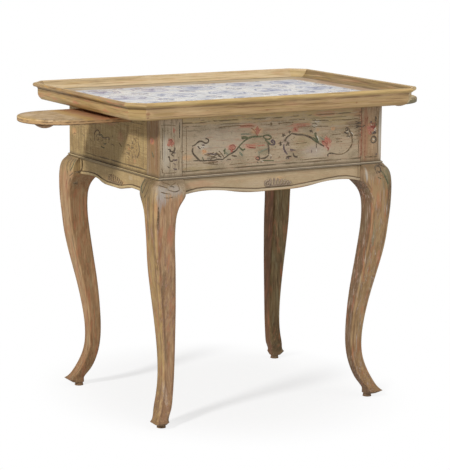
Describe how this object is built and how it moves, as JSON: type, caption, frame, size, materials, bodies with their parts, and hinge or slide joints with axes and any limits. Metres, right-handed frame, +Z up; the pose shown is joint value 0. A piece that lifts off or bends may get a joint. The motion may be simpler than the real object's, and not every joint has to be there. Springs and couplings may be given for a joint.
{
  "type": "tile top table",
  "caption": "Small table on cabriole legs with a tiled tray top and a round-ended candle slide under each end.",
  "frame": {"origin": "on the floor under the middle of the table", "axes": "+X along the table's length to the right, +Y across it from front to back, +Z up"},
  "size_m": [1.0855, 0.552, 0.76],
  "materials": {
    "top_wood": "worn golden ochre paint on pine, satin",
    "painted_wood": "worn grey beige paint with painted scrolls, matt",
    "leg_wood": "worn brown paint on carved wood, matt",
    "slide_wood": "worn paint on a thin board, matt",
    "raw_wood": "bare old pine",
    "tile_glaze": "white tin glaze with faded blue painting",
    "mortar": "lime mortar, matt"
  },
  "bodies": {
    "frame": {"front_left_leg": "leg_wood", "front_right_leg": "leg_wood", "back_left_leg": "leg_wood", "back_right_leg": "leg_wood", "front_rail": "painted_wood", "back_rail": "painted_wood", "left_end_rail": "painted_wood", "right_end_rail": "painted_wood", "front_bead": "painted_wood", "right_bead": "painted_wood", "back_bead": "painted_wood", "left_bead": "painted_wood", "front_shell": "painted_wood", "right_shell": "painted_wood", "back_shell": "painted_wood", "left_shell": "painted_wood", "front_rim": "top_wood", "front_right_corner_rim": "top_wood", "right_rim": "top_wood", "back_right_corner_rim": "top_wood", "back_rim": "top_wood", "back_left_corner_rim": "top_wood", "left_rim": "top_wood", "front_left_corner_rim": "top_wood", "front_plank": "raw_wood", "middle_plank": "raw_wood", "back_plank": "raw_wood", "front_margin": "top_wood", "back_margin": "top_wood", "left_margin": "top_wood", "right_margin": "top_wood", "tile_bed": "mortar", "tile_grout": "mortar", "front_tile_1": "tile_glaze", "front_tile_2": "tile_glaze", "front_tile_3": "tile_glaze", "front_tile_4": "tile_glaze", "front_tile_5": "tile_glaze", "middle_tile_1": "tile_glaze", "middle_tile_2": "tile_glaze", "middle_tile_3": "tile_glaze", "middle_tile_4": "tile_glaze", "middle_tile_5": "tile_glaze", "back_tile_1": "tile_glaze", "back_tile_2": "tile_glaze", "back_tile_3": "tile_glaze", "back_tile_4": "tile_glaze", "back_tile_5": "tile_glaze", "front_slide_guide": "raw_wood", "back_slide_guide": "raw_wood", "glue_blocks": "raw_wood"},
    "left_slide_body": {"left_slide": "slide_wood", "left_slide_knob": "slide_wood", "left_slide_stops": "slide_wood"},
    "right_slide_body": {"right_slide": "slide_wood", "right_slide_knob": "slide_wood", "right_slide_stops": "slide_wood"}
  },
  "joints": [
    {"name": "left_slide_travel", "type": "slide", "parent": "frame", "child": "left_slide_body", "axis": [-1, 0, 0], "range_m": [-0.148, 0.013]},
    {"name": "right_slide_travel", "type": "slide", "parent": "frame", "child": "right_slide_body", "axis": [1, 0, 0], "range_m": [-0.187, 0]}
  ]
}
